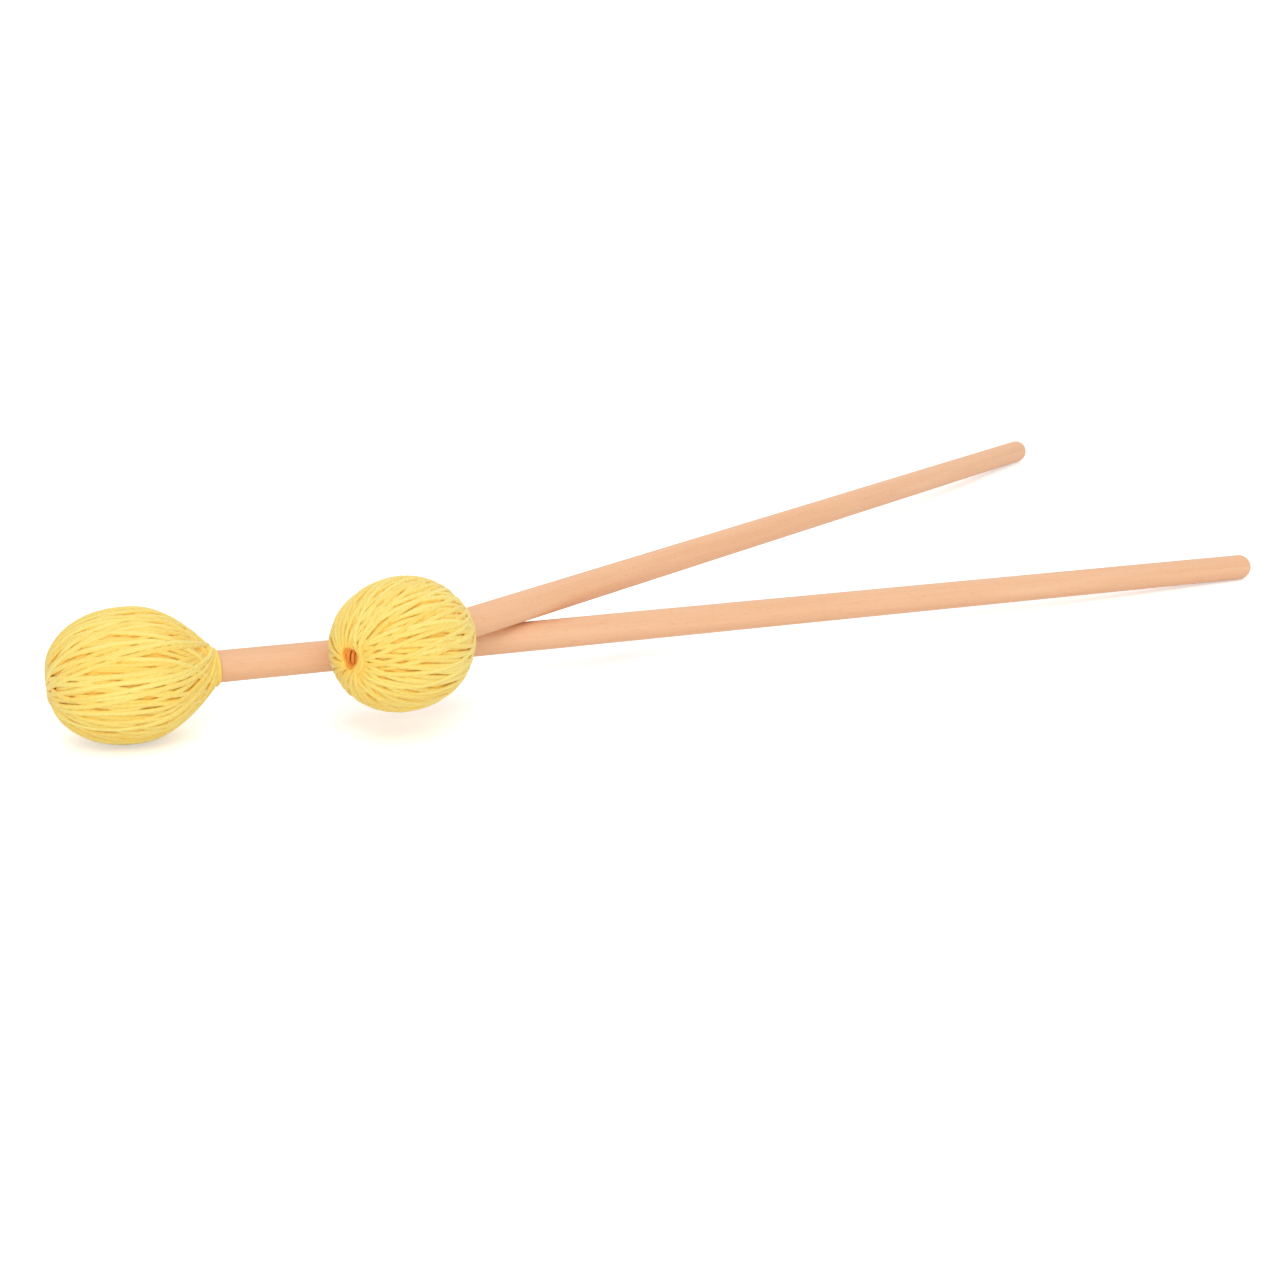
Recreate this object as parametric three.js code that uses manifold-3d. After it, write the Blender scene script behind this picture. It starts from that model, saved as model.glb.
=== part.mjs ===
// A pair of marimba mallets laid down crossed: one lies on the floor and the other leans over its shaft.
// Each is a turned beech shaft glued into a rubber core, wound with yellow yarn and stitched shut.
// Millimetres, +Z up. The floor is z = 0 and the origin lies under the middle of the pair.

import * as THREE from "three";
import { mergeVertices } from "three/addons/utils/BufferGeometryUtils.js";
import Module from "manifold-3d";

// Clearances
const REST_GAP = 0.3; // left between surfaces that touch on the real mallet
const GLUE_GAP = 0.15; // glue line between the shaft and its bore
const CORE_GAP = 0.2; // between the core and the yarn pressed on it

// Shaft
const MALLET_LENGTH = 392; // from the crown of the head to the butt
const SHAFT_RADIUS = 4;
const BUTT_DOME_LENGTH = 3.8;
const TIP_CHAMFER = 0.7;
const TIP_FROM_CROWN = 14; // how far behind the crown the shaft ends, inside the core

// Head outline, over the yarn
const HEAD_RADIUS = 16.7;
const WINDING_LENGTH = 40.8; // from the crown to the lip at the neck, without the turn that binds it
const WIDEST_FROM_CROWN = 20.5;
const CROWN_POWER_ALONG = 2.25;
const CROWN_POWER_ACROSS = 2.08;
const NECK_POWER = 1.1;

// Yarn
const YARN_RADIUS = 0.6;
const YARN_SIDES = 5;
const LOOPS = 24; // each runs from the neck up to the crown and back
const LEVELS = 3; // loops that overlap at the crown and at the neck
const LEVEL_GAP = 0.65; // between a loop and the one under it
const PAIR_GAP = 0.65; // between the two runs of one loop, near its turn
const TAIL_GAP = 1.8; // between the two ends of the turn that binds the neck

// Stitching thread at the crown
const THREAD_RADIUS = 0.4;
const THREAD_SIDES = 4;
const CROWN_PIT_DEPTH = 3.2;

// Rubber core and the yarn under the outer layer
const YARN_BUILD = 4.7; // from the core to the outside of the yarn, at the widest place
const CROWN_PAD = 3.6; // yarn between the sunk loops and the front of the core
const NECK_PAD = 8.3; // yarn between the lip and the back of the core's curve
const CORE_LIP = 1.8; // rubber left round the mouth of the bore
const BORE_TIP_SPACE = 0.4; // air left past the end of the shaft
const UNDERWRAP_LIP = 0.9; // yarn left round the shaft, where the under layer ends

// How the pair lies
const CROSSING_ON_LOWER = 124.2; // from the crown, along each shaft
const CROSSING_ON_UPPER = 66;
const CROSSING_ANGLE = THREE.MathUtils.degToRad(26.7);
const FLAT_DEPTH = YARN_RADIUS / 5; // how far the strand on the floor is pressed flat
const CUT_OVERRUN = 5;
const STEEPEST_LEAN = THREE.MathUtils.degToRad(20);

// Where along the outline a run bends, from the crown to the neck, and how fine the solids are
const BEND_SHARES = [0.18, 0.34, 0.52, 0.66, 0.78];
const SINK_SHARES = { start: 1, end: 0.84 }; // of the head's radius
const TURN_NARROWING_SHARE = 0.75; // of the distance between the two runs of a loop
const OUTLINE_STEPS = 60;
const SHAFT_SIDES = 32;
const HEAD_SIDES = 24;
const DOME_STEPS = 5;
const CORE_STEPS = 10;
const BINDING_STEPS = 13;
const STITCH_STEPS = 9;
const HALVINGS = 40;

const YARN_DIAMETER = 2 * YARN_RADIUS;
const LEVEL_PITCH = YARN_DIAMETER + LEVEL_GAP;
const PAIR_HALF = (YARN_DIAMETER + PAIR_GAP) / 2;
const STACK_DEPTH = YARN_DIAMETER + (LEVELS - 1) * LEVEL_PITCH + REST_GAP;
const NECK_SEAT_RADIUS = SHAFT_RADIUS + REST_GAP + YARN_RADIUS;

const wasm = await Module();
wasm.setup();

const beech = new THREE.MeshStandardMaterial({ name: "beech", color: "#f5bd92", roughness: 0.45 });
const rubber = new THREE.MeshStandardMaterial({ name: "rubber", color: "#5b4636", roughness: 0.8 });
const yarn = new THREE.MeshStandardMaterial({ name: "yarn", color: "#fbdc78", roughness: 0.9 });
const thread = new THREE.MeshStandardMaterial({ name: "thread", color: "#f0bd4c", roughness: 0.9 });

// Root of a falling or rising function between two values, by halving.
function rootBetween(low, high, f) {
  const rising = f(high) > f(low);
  for (let i = 0; i < HALVINGS; i++) {
    const middle = (low + high) / 2;
    if (f(middle) > 0 === rising) high = middle;
    else low = middle;
  }
  return (low + high) / 2;
}

// Points of the head's outline as (radius, distance behind the crown), from the crown's middle to the neck.
function headOutline() {
  const points = [];
  for (let i = 0; i < OUTLINE_STEPS; i++) {
    const turn = ((Math.PI / 2) * i) / OUTLINE_STEPS;
    const r = HEAD_RADIUS * Math.sin(turn) ** (2 / CROWN_POWER_ACROSS);
    const x = WIDEST_FROM_CROWN * (1 - Math.cos(turn) ** (2 / CROWN_POWER_ALONG));
    points.push(new THREE.Vector2(r, x));
  }
  const lip = NECK_SEAT_RADIUS + YARN_RADIUS;
  for (let i = 0; i <= OUTLINE_STEPS; i++) {
    const share = i / OUTLINE_STEPS;
    const r = lip + (HEAD_RADIUS - lip) * Math.cos((Math.PI / 2) * share ** NECK_POWER);
    points.push(new THREE.Vector2(r, WIDEST_FROM_CROWN + (WINDING_LENGTH - WIDEST_FROM_CROWN) * share));
  }
  return points;
}

const OUTLINE = headOutline();
const OUTLINE_REACH = OUTLINE.reduce(
  (sums, p, i) => [...sums, i ? sums[i - 1] + p.distanceTo(OUTLINE[i - 1]) : 0],
  [],
);
const OUTLINE_LENGTH = OUTLINE_REACH.at(-1);
const WIDEST_SHARE = OUTLINE_REACH[OUTLINE_STEPS] / OUTLINE_LENGTH;

// A place on the head at a share of the outline's length: its point, its outward direction and its radius.
function onOutline(share) {
  const reach = share * OUTLINE_LENGTH;
  let i = OUTLINE_REACH.findIndex((sum) => sum > reach);
  if (i < 1) i = OUTLINE.length - 1;
  const [from, to] = [OUTLINE[i - 1], OUTLINE[i]];
  const part = (reach - OUTLINE_REACH[i - 1]) / (OUTLINE_REACH[i] - OUTLINE_REACH[i - 1]);
  const along = to.clone().sub(from).normalize();
  return { point: from.clone().lerp(to, part), out: new THREE.Vector2(along.y, -along.x) };
}

// The same place, but under the surface by a depth.
function under(share, depth) {
  const { point, out } = onOutline(share);
  return { point: point.clone().addScaledVector(out, -depth), out };
}

// How far the loops have parted into their levels: 0 round the middle of the head, 1 at the crown and the neck.
function sinkAt(share) {
  const r = onOutline(share).point.x / HEAD_RADIUS;
  return 1 - THREE.MathUtils.smoothstep(r, SINK_SHARES.end, SINK_SHARES.start);
}

const levelDepth = (share, level) => YARN_RADIUS + level * LEVEL_PITCH * sinkAt(share);

// The share at which a level's centreline comes down to a radius, towards the crown or towards the neck.
function shareAtRadius(radius, level, towardsNeck) {
  const missing = (share) => under(share, levelDepth(share, level)).point.x - radius;
  return towardsNeck ? rootBetween(WIDEST_SHARE, 1, missing) : rootBetween(0, WIDEST_SHARE, missing);
}

// A closed tube of yarn or thread along points that each carry the direction away from what it lies on.
function tubeAlong(path, radius, sides) {
  const rings = path.map(({ at, away }, i) => {
    const before = at.clone().sub(path[Math.max(i - 1, 0)].at).normalize();
    const after = path[Math.min(i + 1, path.length - 1)].at.clone().sub(at).normalize();
    const tangent = before.clone().add(after).normalize();
    const bend = after.clone().sub(before);
    const mitre = 1 / Math.max(tangent.dot(i ? before : after), Number.EPSILON);
    const side = tangent.clone().cross(away).normalize();
    const top = side.clone().cross(tangent);
    return Array.from({ length: sides }, (_, k) => {
      const turn = (2 * Math.PI * k) / sides;
      const offset = top.clone().multiplyScalar(Math.cos(turn) * radius);
      offset.addScaledVector(side, Math.sin(turn) * radius);
      if (bend.length() > Number.EPSILON) {
        const across = bend.clone().normalize();
        offset.addScaledVector(across, offset.dot(across) * (mitre - 1));
      }
      return at.clone().add(offset);
    });
  });
  const corners = [...rings.flat(), path[0].at, path.at(-1).at];
  const [firstCap, lastCap] = [corners.length - 2, corners.length - 1];
  const faces = [];
  for (let i = 0; i < rings.length; i++) {
    for (let k = 0; k < sides; k++) {
      const [a, b] = [i * sides + k, i * sides + ((k + 1) % sides)];
      if (i === 0) faces.push(firstCap, b, a);
      if (i === rings.length - 1) faces.push(lastCap, a, b);
      else faces.push(a, b, a + sides, b, b + sides, a + sides);
    }
  }
  const geometry = new THREE.BufferGeometry().setFromPoints(corners).setIndex(faces);
  geometry.computeVertexNormals();
  return geometry;
}

// A point round the mallet's axis, which runs along +X from the crown.
function around(point, azimuth) {
  const [c, s] = [Math.cos(azimuth), Math.sin(azimuth)];
  return new THREE.Vector3(point.y, point.x * c, point.x * s);
}

// One bend of the yarn: a place on the head at an azimuth.
function bendOf({ point, out }, azimuth) {
  return { at: around(point, azimuth), away: around(out, azimuth) };
}

// The two runs of a loop lie evenly among the others on the wide part of the head, and side by side near a turn.
function pairAngle(radius) {
  return Math.max(Math.PI / (2 * LOOPS), Math.asin(Math.min(PAIR_HALF / radius, 1)));
}

// The route of the yarn's outer layer: up from the neck to the crown, round, and down again, for every loop.
// Neighbouring loops lie one over the other where they crowd together, in turn at each level.
function windingRoute() {
  const loopsOnLevel = LOOPS / LEVELS;
  const ringRadius = (loopsOnLevel * (2 * PAIR_HALF + LEVEL_PITCH)) / (2 * Math.PI);
  const turnRadius = ringRadius - YARN_RADIUS;
  const reach = YARN_RADIUS / OUTLINE_LENGTH;
  const neckStop = Math.max(NECK_SEAT_RADIUS, turnRadius);
  const crownShares = [];
  const neckShares = [];
  for (let level = 0; level < LEVELS; level++) {
    crownShares.push([shareAtRadius(turnRadius, level, false), shareAtRadius(ringRadius, level, false)]);
    const stop = shareAtRadius(neckStop, level, true);
    neckShares.push([stop, stop - reach]);
  }
  const route = [];
  const place = (share, level, middle, side, narrow) => {
    const spot = under(share, levelDepth(share, level));
    const angle = pairAngle(spot.point.x) * (narrow ? TURN_NARROWING_SHARE : 1);
    route.push(bendOf(spot, middle + side * angle));
  };
  for (let loop = 0; loop < LOOPS; loop++) {
    const crownMiddle = (2 * Math.PI * loop) / LOOPS;
    const crownLevel = loop % LEVELS;
    for (const side of [-1, 1]) {
      const neckMiddle = crownMiddle + (side * Math.PI) / LOOPS;
      const neckLevel = (side < 0 ? loop + LEVELS - 1 : loop) % LEVELS;
      const [crownTurn, crownEnd] = crownShares[crownLevel];
      const [neckTurn, neckEnd] = neckShares[neckLevel];
      const run = [
        [crownTurn, crownLevel, crownMiddle, side, true],
        [crownEnd, crownLevel, crownMiddle, side, false],
      ];
      for (const share of BEND_SHARES) {
        if (share < WIDEST_SHARE) run.push([share, crownLevel, crownMiddle, side, false]);
        else if (share < neckEnd - reach) run.push([share, neckLevel, neckMiddle, -side, false]);
      }
      run.push([neckEnd, neckLevel, neckMiddle, -side, false]);
      const isEnd = side < 0 ? loop === 0 : loop === LOOPS - 1;
      if (!isEnd) run.push([neckTurn, neckLevel, neckMiddle, -side, true]);
      if (side < 0) run.reverse();
      run.forEach((bend) => place(...bend));
    }
  }
  return route;
}

// The least distance between two stretches of a tube that don't follow each other, less its thickness.
function leastGap(path, radius) {
  const samples = [];
  let reach = 0;
  for (let i = 1; i < path.length; i++) {
    const [from, to] = [path[i - 1].at, path[i].at];
    const pieces = Math.max(1, Math.ceil(from.distanceTo(to) / radius));
    for (let k = 0; k < pieces; k++) {
      samples.push({ at: from.clone().lerp(to, k / pieces), reach: reach + (from.distanceTo(to) * k) / pieces });
    }
    reach += from.distanceTo(to);
  }
  const apart = 3 * 2 * radius;
  let least = Infinity;
  samples.forEach((a, i) => {
    for (let k = i + 1; k < samples.length; k++) {
      if (samples[k].reach - a.reach > apart) least = Math.min(least, a.at.distanceTo(samples[k].at));
    }
  });
  return least - 2 * radius;
}

// One open turn of yarn or thread round the axis.
function openTurn(ringRadius, x, endGap, steps) {
  const sweep = 2 * Math.PI - endGap / ringRadius;
  return Array.from({ length: steps + 1 }, (_, i) => {
    const azimuth = (sweep * i) / steps;
    return bendOf({ point: new THREE.Vector2(ringRadius, x), out: new THREE.Vector2(1, 0) }, azimuth);
  });
}

// A solid turned from an outline of (radius, distance behind the crown) points, with its axis along +X.
function turned(outline, sides) {
  return new THREE.LatheGeometry(outline, sides).rotateZ(-Math.PI / 2);
}

// Where a hole is turned with few sides, its flats and not its corners keep the radius asked for.
const holeRadius = (radius, sides) => radius / Math.cos(Math.PI / sides);

function buttOutline() {
  const from = MALLET_LENGTH - BUTT_DOME_LENGTH;
  return Array.from({ length: DOME_STEPS + 1 }, (_, i) => {
    const turn = ((Math.PI / 2) * i) / DOME_STEPS;
    const r = i < DOME_STEPS ? SHAFT_RADIUS * Math.cos(turn) : 0;
    return new THREE.Vector2(r, from + BUTT_DOME_LENGTH * Math.sin(turn));
  });
}

function shaft() {
  const tip = [
    new THREE.Vector2(0, TIP_FROM_CROWN),
    new THREE.Vector2(SHAFT_RADIUS - TIP_CHAMFER, TIP_FROM_CROWN),
    new THREE.Vector2(SHAFT_RADIUS, TIP_FROM_CROWN + TIP_CHAMFER),
  ];
  return turned([...tip, ...buttOutline()], SHAFT_SIDES);
}

// The core is an egg with a flat land at the back, where the bore for the shaft opens.
const CORE = {
  radius: HEAD_RADIUS - YARN_BUILD,
  frontLength: WIDEST_FROM_CROWN - STACK_DEPTH - CROWN_PAD,
  backLength: WINDING_LENGTH - NECK_PAD - WIDEST_FROM_CROWN,
  bore: holeRadius(SHAFT_RADIUS + GLUE_GAP, HEAD_SIDES),
};
CORE.land = CORE.bore + CORE_LIP;

// The outside of the core, grown by a clearance, from its front to the rim of its land.
function coreOutline(grow) {
  const radius = CORE.radius + grow;
  const rim = Math.acos(CORE.land / CORE.radius) + Math.PI / 2;
  return Array.from({ length: CORE_STEPS + 1 }, (_, i) => {
    const turn = (rim * i) / CORE_STEPS;
    const length = (turn < Math.PI / 2 ? CORE.frontLength : CORE.backLength) + grow;
    return new THREE.Vector2(radius * Math.sin(turn), WIDEST_FROM_CROWN - length * Math.cos(turn));
  });
}

function rubberCore() {
  const outside = coreOutline(0);
  const boreEnd = TIP_FROM_CROWN - BORE_TIP_SPACE;
  const bore = [
    new THREE.Vector2(CORE.bore, outside.at(-1).y),
    new THREE.Vector2(CORE.bore, boreEnd),
    new THREE.Vector2(0, boreEnd),
  ];
  return turned([...outside, ...bore], HEAD_SIDES);
}

// The under layers of yarn: a thick shell on the core, sunk at both ends under the loops that cross there.
function underwrap(turnRadius) {
  const coverAt = (share) => {
    const depth = YARN_DIAMETER + REST_GAP + (LEVELS - 1) * LEVEL_PITCH * sinkAt(share);
    return under(share, depth).point;
  };
  const plugRadius = turnRadius - YARN_RADIUS - REST_GAP;
  const plugShare = rootBetween(0, WIDEST_SHARE, (share) => coverAt(share).x - plugRadius);
  const neckRadius = holeRadius(SHAFT_RADIUS + REST_GAP, HEAD_SIDES);
  const endShare = rootBetween(WIDEST_SHARE, 1, (share) => coverAt(share).x - neckRadius - UNDERWRAP_LIP);
  const cover = [plugShare, ...BEND_SHARES.filter((share) => share < endShare), endShare].map(coverAt);
  const hollow = coreOutline(CORE_GAP).reverse();
  return turned(
    [
      new THREE.Vector2(0, CROWN_PIT_DEPTH),
      new THREE.Vector2(plugRadius, CROWN_PIT_DEPTH),
      ...cover,
      new THREE.Vector2(neckRadius, cover.at(-1).y),
      new THREE.Vector2(neckRadius, hollow[0].y + CORE_GAP),
      new THREE.Vector2(hollow[0].x, hollow[0].y + CORE_GAP),
      ...hollow.slice(1),
    ],
    HEAD_SIDES,
  );
}

// The greatest height of the axis, at the crown, at which some point of an outline touches a floor under a mallet
// that leans down towards its butt.
function supportHeight(outline, lean) {
  return Math.max(...outline.map((p) => p.y * Math.sin(lean) + p.x * Math.cos(lean)));
}

// The lower mallet lies on its butt and on the strand of its head that is pressed flat.
function lowerPose(windingBends) {
  const head = windingBends.map(({ at, away }) => {
    const outermost = at.clone().addScaledVector(away, YARN_RADIUS);
    return new THREE.Vector2(Math.hypot(outermost.y, outermost.z) - FLAT_DEPTH, outermost.x);
  });
  const butt = buttOutline();
  const uneven = (lean) => supportHeight(head, lean) - supportHeight(butt, lean);
  const lean = rootBetween(0, STEEPEST_LEAN, uneven);
  return { lean, heading: 0, crown: new THREE.Vector3(0, 0, supportHeight(butt, lean)) };
}

// The upper mallet lies on its butt and on the lower shaft, and its head hangs clear.
function upperPose(lower) {
  const onLower = CROSSING_ON_LOWER;
  const x = onLower * Math.cos(lower.lean);
  const z = lower.crown.z - onLower * Math.sin(lower.lean) + 2 * SHAFT_RADIUS + REST_GAP;
  const butt = buttOutline();
  const above = (lean) => z + CROSSING_ON_UPPER * Math.sin(lean) - supportHeight(butt, lean);
  const lean = rootBetween(0, STEEPEST_LEAN, above);
  const back = CROSSING_ON_UPPER * Math.cos(lean);
  const crown = new THREE.Vector3(
    x - back * Math.cos(CROSSING_ANGLE),
    -back * Math.sin(CROSSING_ANGLE),
    z + CROSSING_ON_UPPER * Math.sin(lean),
  );
  return { lean, heading: CROSSING_ANGLE, crown };
}

function posed(group, { lean, heading, crown }) {
  group.rotation.set(0, lean, heading, "ZYX");
  group.position.copy(crown);
  return group;
}

function solidOf(geometry) {
  const bare = geometry.clone();
  bare.deleteAttribute("normal");
  bare.deleteAttribute("uv");
  const merged = mergeVertices(bare);
  const vertProperties = merged.attributes.position.array;
  return new wasm.Manifold(new wasm.Mesh({ numProp: 3, vertProperties, triVerts: new Uint32Array(merged.index.array) }));
}

function geometryOf(solid) {
  const { vertProperties, triVerts } = solid.getMesh();
  const geometry = new THREE.BufferGeometry();
  geometry.setAttribute("position", new THREE.BufferAttribute(vertProperties, 3)).setIndex([...triVerts]);
  geometry.computeVertexNormals();
  return geometry;
}

// Presses the strand that a mesh lies on flat against the floor.
function pressFlat(mesh) {
  mesh.updateWorldMatrix(true, false);
  const box = new THREE.Box3().setFromObject(mesh, true);
  const size = box.getSize(new THREE.Vector3());
  const middle = box.getCenter(new THREE.Vector3());
  const below = new THREE.BoxGeometry(size.x + CUT_OVERRUN, size.y + CUT_OVERRUN, CUT_OVERRUN);
  below.translate(middle.x, middle.y, -CUT_OVERRUN / 2);
  below.applyMatrix4(mesh.matrixWorld.clone().invert());
  mesh.geometry = geometryOf(solidOf(mesh.geometry).subtract(solidOf(below)));
}

function mallet(name, geometries) {
  const group = new THREE.Group();
  for (const [piece, [geometry, material]] of Object.entries(geometries)) {
    const mesh = new THREE.Mesh(geometry, material);
    mesh.name = `${name}_${piece}`;
    group.add(mesh);
  }
  return group;
}

const route = windingRoute();
const turnPoint = route.reduce((least, bend) => (bend.at.x < least.x ? bend.at : least), route[0].at);
const turnRadius = Math.hypot(turnPoint.y, turnPoint.z);
const lipEnd = Math.max(...route.map((bend) => bend.at.x));
const bindingRoute = openTurn(NECK_SEAT_RADIUS, lipEnd + YARN_DIAMETER + REST_GAP, TAIL_GAP, BINDING_STEPS);
const stitchRadius = turnRadius - YARN_RADIUS - REST_GAP - THREAD_RADIUS;
const stitchFrom = CROWN_PIT_DEPTH - REST_GAP - THREAD_RADIUS;
const stitchRoute = openTurn(stitchRadius, stitchFrom, 2 * THREAD_RADIUS + REST_GAP, STITCH_STEPS);
console.log("least gap of the yarn to itself, mm:", leastGap(route, YARN_RADIUS).toFixed(2));

const pieces = {
  shaft: [shaft(), beech],
  rubber_core: [rubberCore(), rubber],
  underwrap: [underwrap(turnRadius), yarn],
  yarn_winding: [tubeAlong(route, YARN_RADIUS, YARN_SIDES), yarn],
  crown_stitch: [tubeAlong(stitchRoute, THREAD_RADIUS, THREAD_SIDES), thread],
  neck_binding: [tubeAlong(bindingRoute, YARN_RADIUS, YARN_SIDES), yarn],
};

const pair = new THREE.Group();
const lying = lowerPose(route);
const lower = posed(mallet("lower", pieces), lying);
const upper = posed(mallet("upper", pieces), upperPose(lying));
pair.add(lower, upper);

// The head of the lower mallet is rolled until one run of yarn is at the very bottom.
const winding = lower.getObjectByName("lower_yarn_winding");
winding.rotation.x = -Math.PI / 2 + Math.PI / (2 * LOOPS);
pressFlat(winding);

const middle = new THREE.Box3().setFromObject(pair, true).getCenter(new THREE.Vector3());
pair.position.set(-middle.x, -middle.y, 0);

export default pair;
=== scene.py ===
import math

import bmesh
import bpy
import numpy as np
from mathutils import Matrix, Vector


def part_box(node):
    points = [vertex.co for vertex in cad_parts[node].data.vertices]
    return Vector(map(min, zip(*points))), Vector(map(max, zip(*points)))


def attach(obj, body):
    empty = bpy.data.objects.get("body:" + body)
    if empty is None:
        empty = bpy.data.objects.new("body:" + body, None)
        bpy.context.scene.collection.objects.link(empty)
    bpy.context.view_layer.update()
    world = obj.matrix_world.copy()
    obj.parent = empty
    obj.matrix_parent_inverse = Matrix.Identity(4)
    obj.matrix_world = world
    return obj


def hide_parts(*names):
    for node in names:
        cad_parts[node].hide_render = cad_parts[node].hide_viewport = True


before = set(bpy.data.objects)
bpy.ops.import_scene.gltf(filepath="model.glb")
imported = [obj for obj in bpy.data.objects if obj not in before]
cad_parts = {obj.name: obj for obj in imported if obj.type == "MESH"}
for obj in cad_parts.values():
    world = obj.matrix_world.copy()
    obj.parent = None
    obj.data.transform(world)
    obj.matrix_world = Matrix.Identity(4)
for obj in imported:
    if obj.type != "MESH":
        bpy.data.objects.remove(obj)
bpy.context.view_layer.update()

# The camera.
# It stands low over the heads' side of the pair and looks along the shafts, 20 degrees down. Its place
# and its lens were fitted to the edges of both shafts and to the outlines of both heads.
MM = 0.001
SENSOR = 36.0
LENS = 57.972
CAMERA_PLACE = Vector((-316.975, -518.132, 201.861)) * MM
CAMERA_HEADING = math.radians(30.478)
CAMERA_DIP = math.radians(19.995)
CAMERA_ROLL = math.radians(3.484)

camera_data = bpy.data.cameras.new("camera")
camera_data.sensor_width = SENSOR
camera_data.lens = LENS
camera = bpy.data.objects.new("camera", camera_data)
bpy.context.scene.collection.objects.link(camera)
camera.matrix_world = (
    Matrix.Translation(CAMERA_PLACE)
    @ Matrix.Rotation(-CAMERA_HEADING, 4, "Z")
    @ Matrix.Rotation(math.pi / 2 - CAMERA_DIP, 4, "X")
    @ Matrix.Rotation(CAMERA_ROLL, 4, "Z")
)
bpy.context.scene.camera = camera

# The shafts.
# Each is a straight beech dowel turned on a lathe, with a rounded butt for the hand and a chamfered tip
# that is glued into the core. The wood is sanded fine and has a thin satin lacquer.
MALLET_LENGTH = 392.0
SHAFT_RADIUS = 4.0
BUTT_DOME_LENGTH = 3.8
TIP_CHAMFER = 0.7
TIP_FROM_CROWN = 14.0
SHAFT_STEPS = 96
DOME_SEGMENTS = 12
WELD_DISTANCE = 0.0001
SIDES = ("lower", "upper")


def mallet_place(side):
    """The matrix from a mallet's own frame, in millimetres with X running back from its crown, to the scene.
    The shaft's corners in the CAD give its axis and its butt. The core shows which end the head is on."""
    corners = [tuple(round(c, 6) for c in v.co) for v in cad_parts[side + "_shaft"].data.vertices]
    points = np.array(sorted(set(corners)))
    middle = points.mean(axis=0)
    low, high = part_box(side + "_rubber_core")
    along = Vector(np.linalg.svd(points - middle)[2][0])
    if along.dot(Vector(middle) - (low + high) / 2) < 0:
        along.negate()
    butt = max(float((point - middle) @ np.array(along)) for point in points)
    crown = Vector(middle) + along * (butt - MALLET_LENGTH * MM)
    across = Vector((0, 0, 1)).cross(along).normalized()
    turn = Matrix((along, across, along.cross(across))).transposed().to_4x4()
    return Matrix.Translation(crown) @ turn @ Matrix.Scale(MM, 4)


PLACES = {side: mallet_place(side) for side in SIDES}


def linear(colour):
    """Linear RGBA from an sRGB colour written as hex."""
    parts = [int(colour[i:i + 2], 16) / 255 for i in (1, 3, 5)]
    return [c / 12.92 if c <= 0.04045 else ((c + 0.055) / 1.055) ** 2.4 for c in parts] + [1.0]


def new_material(name):
    material = bpy.data.materials.new(name)
    material.use_nodes = True
    return material


def add_node(material, kind, settings=None, links=None):
    """Adds a node. Settings go to its properties or, by name or number, to its inputs; links feed inputs."""
    node = material.node_tree.nodes.new("ShaderNode" + kind)
    for key, value in (settings or {}).items():
        if isinstance(key, str) and hasattr(node, key):
            setattr(node, key, value)
        else:
            node.inputs[key].default_value = value
    for key, socket in (links or {}).items():
        material.node_tree.links.new(socket, node.inputs[key])
    return node


def shader(material):
    return material.node_tree.nodes["Principled BSDF"]


def new_object(name, mesh, material):
    piece = bpy.data.objects.new(name, mesh)
    bpy.context.scene.collection.objects.link(piece)
    mesh.materials.append(material)
    return piece


def spun(name, outline, steps, place, material):
    """A smooth body turned round a mallet's axis from (distance behind the crown, radius) points."""
    bm = bmesh.new()
    corners = [bm.verts.new((x, r, 0)) for x, r in outline]
    for one, other in zip(corners, corners[1:]):
        bm.edges.new((one, other))
    bmesh.ops.spin(bm, geom=bm.verts[:] + bm.edges[:], axis=(1, 0, 0), cent=(0, 0, 0), angle=2 * math.pi,
                   steps=steps, use_merge=True)
    bmesh.ops.remove_doubles(bm, verts=bm.verts[:], dist=WELD_DISTANCE)
    bmesh.ops.recalc_face_normals(bm, faces=bm.faces[:])
    for face in bm.faces:
        face.smooth = True
    mesh = bpy.data.meshes.new(name)
    bm.to_mesh(mesh)
    bm.free()
    mesh.transform(place)
    return new_object(name, mesh, material)


def quarter_ellipse(middle, length, height, segments):
    """Points of a quarter of an ellipse round (middle, 0), from its highest point to its far end."""
    turns = [math.pi / 2 * i / segments for i in range(segments + 1)]
    return [(middle + length * math.sin(turn), height * math.cos(turn)) for turn in turns]


# The factor, the two colours and the result of a Mix node that mixes colours.
MIX_FACTOR, MIX_A, MIX_B, MIX_RESULT = 0, 6, 7, 2
GRAIN_LENGTH = 40.0
GRAIN_SPACING = 1.0
GRAIN_RELIEF = 0.03
FLECK_LENGTH = 2.2
FLECK_SPACING = 0.3
WOOD_TONE_LENGTH = 62.5
WOOD_TONE_WIDTH = 8.3


def per_metre(length, width):
    """The scale of a pattern that is drawn out along X, from its length and its width in millimetres."""
    return 1 / (length * MM), 1 / (width * MM), 1 / (width * MM)


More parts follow.
